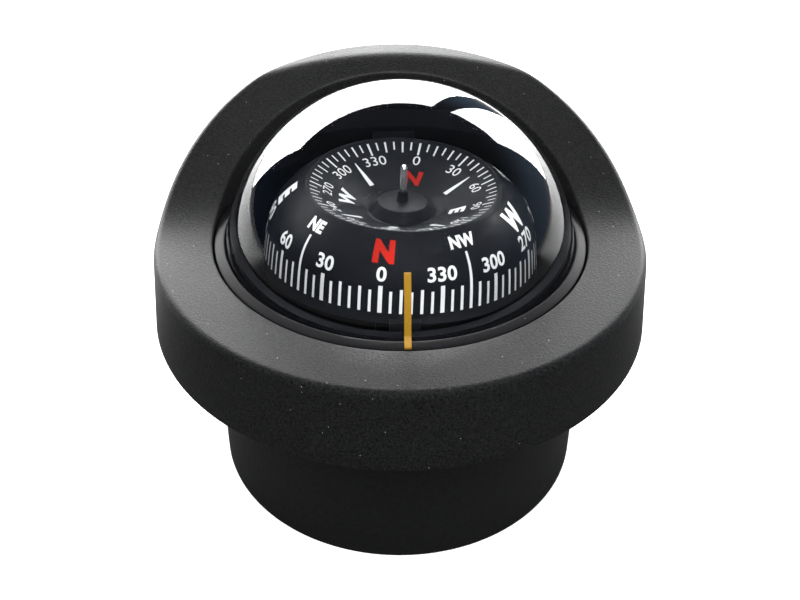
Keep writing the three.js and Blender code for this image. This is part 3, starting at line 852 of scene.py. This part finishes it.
def figure(text, height, width_scale=0.86, weight=0.018):
    """Flat outline of a word, centred on 0, with capitals of a height, cut into small cells."""
    key = (text, height, width_scale, weight)
    if key in FIGURES:
        return FIGURES[key]
    curve = bpy.data.curves.new("word", "FONT")
    curve.body = text
    curve.size = 1.0
    curve.offset = weight
    curve.resolution_u = 4
    curve.space_character = 1.02
    holder = bpy.data.objects.new("word", curve)
    bpy.context.scene.collection.objects.link(holder)
    bpy.context.view_layer.update()
    mesh = bpy.data.meshes.new_from_object(holder.evaluated_get(bpy.context.evaluated_depsgraph_get()))
    bpy.data.objects.remove(holder)
    bpy.data.curves.remove(curve)
    work = bmesh.new()
    work.from_mesh(mesh)
    bpy.data.meshes.remove(mesh)
    xs = [v.co.x for v in work.verts]
    ys = [v.co.y for v in work.verts]
    scale = height / (max(ys) - min(ys))
    middle = (max(xs) + min(xs)) / 2
    foot = (max(ys) + min(ys)) / 2
    for v in work.verts:
        v.co.x = (v.co.x - middle) * scale * width_scale
        v.co.y = (v.co.y - foot) * scale
        v.co.z = 0.0
    wide = (max(xs) - min(xs)) * scale * width_scale
    for axis, size in ((0, wide), (1, height)):
        count = int(size / 0.7) + 1
        for i in range(1, count):
            spot = Vector((0, 0, 0))
            spot[axis] = -size / 2 + size * i / count
            normal = Vector((0, 0, 0))
            normal[axis] = 1
            geometry = list(work.verts) + list(work.edges) + list(work.faces)
            bmesh.ops.bisect_plane(work, geom=geometry, plane_co=spot, plane_no=normal)
    work.verts.index_update()
    points = [(v.co.x, v.co.y) for v in work.verts]
    cells = [tuple(v.index for v in f.verts) for f in work.faces]
    if work.faces and work.faces[:][0].normal.z < 0:
        cells = [tuple(reversed(c)) for c in cells]
    work.free()
    FIGURES[key] = (points, cells)
    return FIGURES[key]


def card_matrix(settings):
    """Turns the card to its heading, dips its north side and lifts it to the pivot."""
    north = 2 * math.pi - settings.heading
    towards = Vector((math.sin(north), math.cos(north), 0))
    axis = Vector((-towards.y, towards.x, 0))
    dip = Matrix.Rotation(settings.dip, 4, axis)
    return Matrix.Translation((0, 0, PIVOT_Z)) @ dip @ Matrix.Rotation(-north, 4, "Z")


def on_card(vertices, settings):
    place = card_matrix(settings)
    return [tuple(place @ Vector(v)) for v in vertices]


class BINNACLE_OT_card_shell(bpy.types.Operator):
    """Build the card's black shell: the skirt, the rim, the dish and the hub"""
    bl_idname = "binnacle.card_shell"
    bl_label = "Card shell"

    def execute(self, context):
        settings = context.scene.binnacle_card
        outer = flowing(SKIRT, 6)[:-1] + flowing(RIM, 4)[:-1]
        dish = [DISH_OUT, (19, 16.155), (14, 14.253), DISH_IN]
        hub = rounded([DISH_IN, (8.5, 12.5), (6.4, 15.3), (1.5, 15.6), (1.3, 18.5), (0, 18.5)], 0.5, 5,
                      closed=False)
        under = [(0, 14.3), (5.3, 14.1), (7.6, 11.9), (8, 11.25), (9.2, 11.25), (24.7, 17.2), (25.8, 17.2),
                 (28.3, 14.9), (30.5, 12.2), (32.2, 9.4), (33.2, 6.3), (33.5, 3), (33.5, -6)]
        vertices, faces = revolve(outer + dish[:-1] + hub + under, 160)
        finish = moulded("card black", (0.0075, 0.0085, 0.011), grain=1300.0, depth=0.006, change=0.2,
                         rough=0.45, gloss_change=0.08, specular=0.05)
        piece("card_body", on_card(vertices, settings), faces, finish, "card",
              ["card_shell"])
        foam = moulded("card foam", (0.03, 0.03, 0.033), grain=700.0, depth=0.15, pebble=0.9, rough=0.85)
        dress(["card_float"], foam)
        dress(["jewel_cup"], brass_finish())
        dress(["hub_pin"], steel_finish())
        dress(["card_magnet_west", "card_magnet_east"], magnet_finish())
        return {"FINISHED"}


class BINNACLE_OT_card_print(bpy.types.Operator):
    """Print the marks, figures and letters on the card's skirt and dish"""
    bl_idname = "binnacle.card_print"
    bl_label = "Card print"

    def execute(self, context):
        settings = context.scene.binnacle_card
        skirt = PrintedFace(flowing(SKIRT, 6))
        dish = PrintedFace([DISH_IN, DISH_OUT])
        white = Print()
        grey = Print()
        red = Print()
        dull = Print()
        slope = (Vector(DISH_OUT) - Vector(DISH_IN)).length / (DISH_OUT[0] - DISH_IN[0])

        def along_dish(radius):
            return (radius - DISH_IN[0]) * slope

        foot = skirt.distance_at_height(-2.8)
        for bearing in range(0, 360, 5):
            angle = math.radians(bearing)
            behind = angle + math.pi
            top, width, inner, thick = 3.9, 0.82, 22.6, 0.35
            if bearing % 30 == 0:
                top, width, inner, thick = 5.4, 1.25, 21.4, 0.45
            elif bearing % 10 == 0:
                top, width, inner, thick = 4.6, 0.88, 21.9, 0.4
            if bearing % 90 == 45:
                points, cells = bar(0.98, 0.8, skirt.distance_at_height(13.3) - foot, along=20)
            else:
                points, cells = bar(width, width, skirt.distance_at_height(top) - foot)
            white.lay(skirt, points, cells, behind, foot, -1)
            points, cells = bar(thick, thick, along_dish(24.7) - along_dish(inner))
            grey.lay(dish, points, cells, angle, along_dish(inner), 1)
        for bearing in range(0, 360, 30):
            angle = math.radians(bearing)
            points, cells = figure(str(bearing), 4.3, 1.05, 0.026)
            white.lay(skirt, points, cells, angle + math.pi, skirt.distance_at_height(8.7), -1)
            points, cells = figure(str(bearing), 2.7, 1.05, 0.0)
            grey.lay(dish, points, cells, angle, along_dish(19.8), 1)
        for bearing, letter in ((0, "N"), (90, "E"), (180, "S"), (270, "W")):
            angle = math.radians(bearing)
            points, cells = figure(letter, 7.0, 0.92, 0.06)
            ink = red if letter == "N" else white
            ink.lay(skirt, points, cells, angle + math.pi, skirt.distance_at_height(14.3), -1)
            points, cells = figure(letter, 4.6, 1.0, 0.045)
            ink = dull if letter == "N" else grey
            ink.lay(dish, points, cells, angle, along_dish(14.6), 1)
        for bearing, letters in ((45, "NE"), (135, "SE"), (225, "SW"), (315, "NW")):
            angle = math.radians(bearing)
            points, cells = figure(letters, 3.9, 0.9, 0.05)
            white.lay(skirt, points, cells, angle + math.pi, skirt.distance_at_height(15.7), -1)
            points, cells = bar(1.3, 0.12, along_dish(20.5) - along_dish(13.2), along=12)
            grey.lay(dish, points, cells, angle, along_dish(13.2), 1)
        inks = ((white, "card_print_white", settings.ink, 0.45),
                (grey, "card_print_grey", tuple(c * 0.75 for c in settings.ink), 0.5),
                (red, "card_print_red", settings.north_ink, 0.45),
                (dull, "card_print_dull_red", tuple(c * 0.55 for c in settings.north_ink), 0.55))
        for print_, name, colour, rough in inks:
            finish = moulded(name.replace("_", " "), colour, grain=1600.0, depth=0.004, change=0.12,
                             rough=rough, specular=0.05)
            piece(name, on_card(print_.vertices, settings), print_.faces, finish, "card")
        return {"FINISHED"}


# ---------------------------------------------------------------- works kept from the frame
def soften_group():
    """Geometry group: welds a frame node's faces and shades them smooth up to an angle."""
    name = "soften"
    if name in bpy.data.node_groups:
        return bpy.data.node_groups[name]
    tree = bpy.data.node_groups.new(name, "GeometryNodeTree")
    tree.interface.new_socket("Geometry", in_out="INPUT", socket_type="NodeSocketGeometry")
    tree.interface.new_socket("Geometry", in_out="OUTPUT", socket_type="NodeSocketGeometry")
    given = tree.nodes.new("NodeGroupInput").outputs[0]
    result = tree.nodes.new("NodeGroupOutput").inputs[0]
    plain = node(tree, "GeometryNodeRemoveAttribute", {"Geometry": given, "Name": "custom_normal"})
    welded = node(tree, "GeometryNodeMergeByDistance", {"Geometry": plain.outputs[0], "Distance": 0.000002})
    angle = node(tree, "GeometryNodeInputMeshEdgeAngle").outputs[0]
    crisp = node(tree, "FunctionNodeCompare", {0: angle, 1: SHARP}, data_type="FLOAT",
                 operation="GREATER_THAN")
    smooth = node(tree, "GeometryNodeSetShadeSmooth", {"Geometry": welded.outputs[0], "Shade Smooth": True},
                  domain="FACE")
    edges = node(tree, "GeometryNodeSetShadeSmooth", {"Geometry": smooth.outputs[0],
                                                      "Selection": crisp.outputs[0], "Shade Smooth": False},
                 domain="EDGE")
    tree.links.new(edges.outputs[0], result)
    return tree


def dress(names, material):
    """Gives frame nodes a finish and smooth shading."""
    for name in names:
        made = frame["nodes"][name]
        for slot in made.material_slots:
            slot.material = material
        modifier = made.modifiers.new("soften", "NODES")
        modifier.node_group = soften_group()


class BINNACLE_OT_works(bpy.types.Operator):
    """Finish the gimbal, the lamp and the compensator, whose shapes come from the frame"""
    bl_idname = "binnacle.works"
    bl_label = "Gimbal, lamp and compensator"

    def execute(self, context):
        dress(["trunnion_left", "trunnion_right", "gimbal_ring", "cradle"], sunk_finish())
        blued = worked_metal("blued steel", (0.03, 0.032, 0.04), 0.5, 0.2)
        dress(["pitch_pin_left", "pitch_pin_right", "roll_pin_front", "roll_pin_back"], blued)
        dress(["pivot_stem"], steel_finish())
        weight = moulded("cast weight", (0.2, 0.2, 0.21), grain=900.0, depth=0.06, rough=0.5, metallic=1.0)
        dress(["counterweight"], weight)
        dress(["lamp_holder", "cable_gland", "gland_nut"], dark_finish())
        milky = moulded("milky lamp", (0.75, 0.68, 0.48), grain=800.0, depth=0.004, rough=0.25)
        dress(["lamp_led"], milky)
        dress(["lamp_window"], clear_plastic("clear dome", ACRYLIC))
        board = moulded("green moulding", (0.035, 0.11, 0.055), grain=1400.0, depth=0.02, rough=0.45)
        dress(["compensator_block"], board)
        dress(["ns_rod", "ew_rod"], brass_finish())
        dress(["ns_magnet", "ew_magnet"], magnet_finish())
        return {"FINISHED"}


# ---------------------------------------------------------------- stage
def area_light(name, power, size, place, turn, glossy=True, colour=(1.0, 1.0, 1.0)):
    light = bpy.data.lights.new(name, "AREA")
    light.shape = "RECTANGLE"
    light.size = size[0]
    light.size_y = size[1]
    light.energy = power * size[0] * size[1]
    light.color = colour
    made = bpy.data.objects.new(name, light)
    made.location = place
    made.rotation_euler = turn
    made.visible_glossy = glossy
    bpy.context.scene.collection.objects.link(made)
    return made


def room_world(strength):
    """A pale room seen directly, and a dim one with a cool side in the reflections."""
    world = bpy.data.worlds.new("room")
    world.use_nodes = True
    tree = world.node_tree
    tree.nodes.clear()
    place = node(tree, "ShaderNodeTexCoord").outputs["Generated"]
    parts = node(tree, "ShaderNodeSeparateXYZ", {0: place}).outputs
    side = ranged(tree, parts[0], -0.75, 0.85)
    low = ranged(tree, parts[2], 0.15, 0.62, 1.0, 0.0)
    back = ranged(tree, parts[1], -0.5, 0.3, 0.12, 1.0)
    cool = mixed(tree, side, (0.03, 0.045, 0.075, 1), (0.2, 0.27, 0.37, 1))
    band = mixed(tree, maths(tree, "MULTIPLY", low, back), (0.03, 0.03, 0.032, 1), cool)
    seen = node(tree, "ShaderNodeLightPath").outputs
    soft = mixed(tree, seen["Is Diffuse Ray"], band, (0.35, 0.36, 0.37, 1))
    final = mixed(tree, seen["Is Camera Ray"], soft, (1.0, 1.0, 1.0, 1))
    background = node(tree, "ShaderNodeBackground", {"Color": final, "Strength": strength})
    output = tree.nodes.new("ShaderNodeOutputWorld")
    tree.links.new(background.outputs[0], output.inputs[0])
    return world


def floor_finish():
    """A pale floor, which lights itself a little to read as paper white, and is dim in the reflections and
    bounced light of its front part."""
    material, tree, shader = new_material("pale floor")
    place = node(tree, "ShaderNodeTexCoord").outputs["Object"]
    cloud = node(tree, "ShaderNodeTexNoise", {"Vector": place, "Scale": 3.0}).outputs[0]
    pale = mixed(tree, cloud, (0.8, 0.8, 0.8, 1), (0.82, 0.82, 0.82, 1))
    seen = node(tree, "ShaderNodeLightPath").outputs["Is Camera Ray"]
    behind = ranged(tree, node(tree, "ShaderNodeSeparateXYZ", {0: place}).outputs[1], 0.04, 0.16)
    mirrored = mixed(tree, behind, (0.09, 0.09, 0.09, 1), pale)
    feed(tree, shader.inputs["Base Color"], mixed(tree, seen, mirrored, pale))
    shader.inputs["Roughness"].default_value = 0.9
    shader.inputs["Specular IOR Level"].default_value = 0.0
    shader.inputs["Emission Color"].default_value = (1, 1, 1, 1)
    glow = maths(tree, "MULTIPLY", seen, 0.6)
    feed(tree, shader.inputs["Emission Strength"], glow)
    return material


class BINNACLE_OT_stage(bpy.types.Operator):
    """Set up the floor, the lights, the room and the camera"""
    bl_idname = "binnacle.stage"
    bl_label = "Stage"

    def execute(self, context):
        settings = context.scene.binnacle_stage
        mesh = bpy.data.meshes.new("floor")
        work = bmesh.new()
        bmesh.ops.create_grid(work, x_segments=8, y_segments=8, size=4.0)
        work.to_mesh(mesh)
        work.free()
        mesh.materials.append(floor_finish())
        floor = bpy.data.objects.new("floor", mesh)
        floor.location = (0, 0, -0.0002)
        context.scene.collection.objects.link(floor)
        centre = PIVOT_Z * MM
        top = centre + 0.727
        low = 0.02
        upright = (math.radians(-90), 0, 0)
        for name, left, right in (("panel_left", -1.07, 0.287), ("panel_right", 0.445, 1.07)):
            place = ((left + right) / 2, 1.0, (top + low) / 2)
            area_light(name, settings.panel_power, (right - left, top - low), place, upright)
        area_light("overhead", settings.fill_power, (1.4, 1.0), (0.1, -0.75, 1.15),
                   (math.radians(33), 0, 0), glossy=False)
        context.scene.world = room_world(settings.room)
        context.scene.view_settings.view_transform = "Standard"
        camera = bpy.data.cameras.new("camera")
        camera.sensor_width = 36.0
        camera.lens = 48.58
        camera.clip_start = 0.01
        eye = Vector((-0.01349, -0.32383, 0.30991))
        target = Vector((0.0001, 0.0, 0.06351))
        forward = (target - eye).normalized()
        right = forward.cross(Vector((0, 0, 1))).normalized()
        up = right.cross(forward)
        roll = math.radians(0.57)
        tilted_right = right * math.cos(roll) + up * math.sin(roll)
        tilted_up = up * math.cos(roll) - right * math.sin(roll)
        turn = Matrix((tilted_right, tilted_up, -forward)).transposed()
        made = bpy.data.objects.new("camera", camera)
        made.matrix_world = Matrix.Translation(eye) @ turn.to_4x4()
        context.scene.collection.objects.link(made)
        context.scene.camera = made
        return {"FINISHED"}


# ---------------------------------------------------------------- panel and main
OPERATORS = (
    BINNACLE_OT_stage, BINNACLE_OT_housing, BINNACLE_OT_base_case, BINNACLE_OT_dome, BINNACLE_OT_bezel,
    BINNACLE_OT_lubber, BINNACLE_OT_card_shell, BINNACLE_OT_card_print, BINNACLE_OT_works,
)
SETTINGS = (
    ("binnacle_housing", HousingSettings), ("binnacle_capsule", CapsuleSettings),
    ("binnacle_card", CardSettings), ("binnacle_stage", StageSettings),
)


class BINNACLE_PT_build(bpy.types.Panel):
    """Lists the compass's settings and the steps that build it"""
    bl_idname = "BINNACLE_PT_build"
    bl_label = "Binnacle compass"
    bl_space_type = "VIEW_3D"
    bl_region_type = "UI"
    bl_category = "Compass"

    def draw(self, context):
        for name, kind in SETTINGS:
            settings = getattr(context.scene, name)
            for key in kind.__annotations__:
                self.layout.prop(settings, key)
        for operator in OPERATORS:
            self.layout.operator(operator.bl_idname)


def register():
    for name, kind in SETTINGS:
        bpy.utils.register_class(kind)
        setattr(bpy.types.Scene, name, bpy.props.PointerProperty(type=kind))
    for kind in (*OPERATORS, BINNACLE_PT_build):
        bpy.utils.register_class(kind)


def unregister():
    for kind in reversed((*OPERATORS, BINNACLE_PT_build)):
        bpy.utils.unregister_class(kind)
    for name, kind in reversed(SETTINGS):
        delattr(bpy.types.Scene, name)
        bpy.utils.unregister_class(kind)


def main():
    register()
    bpy.ops.binnacle.stage()
    bpy.ops.binnacle.housing()
    bpy.ops.binnacle.base_case()
    bpy.ops.binnacle.dome()
    bpy.ops.binnacle.bezel()
    bpy.ops.binnacle.lubber()
    bpy.ops.binnacle.card_shell()
    bpy.ops.binnacle.card_print()
    bpy.ops.binnacle.works()


if __name__ == "__main__":
    main()
